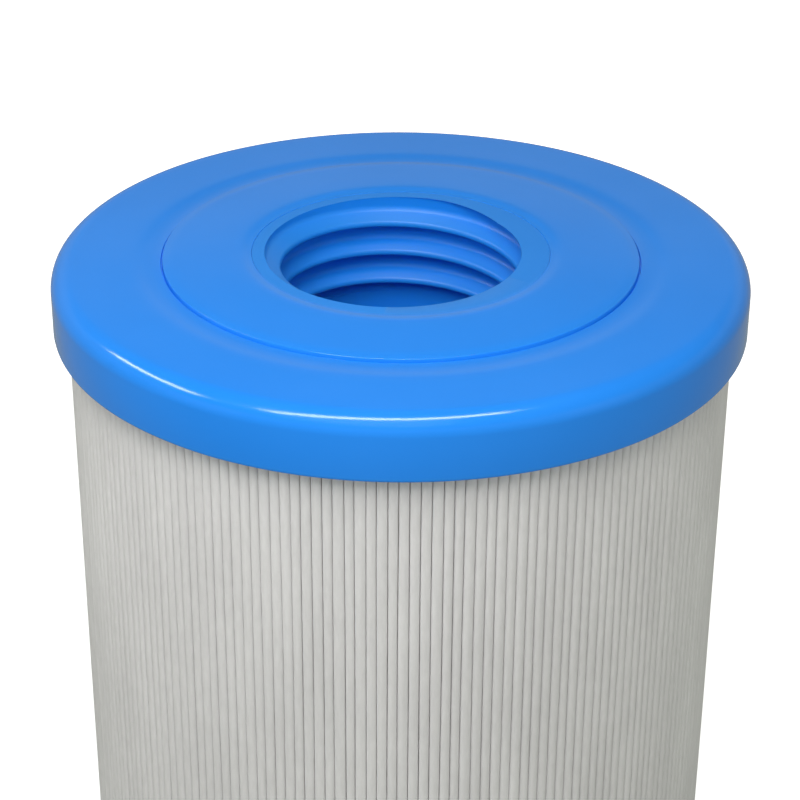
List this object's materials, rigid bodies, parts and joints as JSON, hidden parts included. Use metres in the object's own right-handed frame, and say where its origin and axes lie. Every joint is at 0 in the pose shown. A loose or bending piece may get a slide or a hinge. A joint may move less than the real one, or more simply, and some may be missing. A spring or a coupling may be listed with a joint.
{
  "type": "screw-in pleated filter cartridge",
  "caption": "Round pleated filter cartridge with two moulded end caps, a coarse female thread in the top and a finger grip in the closed base.",
  "frame": {"origin": "centre of the closed cap's base, where the cartridge stands", "axes": "+Z along the cartridge's axis towards the threaded end, +X along the grip bar, +Y away from the usual viewpoint"},
  "size_m": [0.1714, 0.1714, 0.2445],
  "materials": {
    "cap_blue": "satin",
    "insert_blue": "satin",
    "core_white": "satin",
    "media": "matte",
    "seam_glue": "satin"
  },
  "bodies": {
    "root": {"threaded_cap": "cap_blue", "thread_insert": "insert_blue", "core_section_upper": "core_white", "core_section_middle": "core_white", "core_section_lower": "core_white", "pleated_media": "media", "pleat_seam": "seam_glue", "closed_cap": "cap_blue", "grip_insert": "insert_blue"}
  },
  "joints": []
}
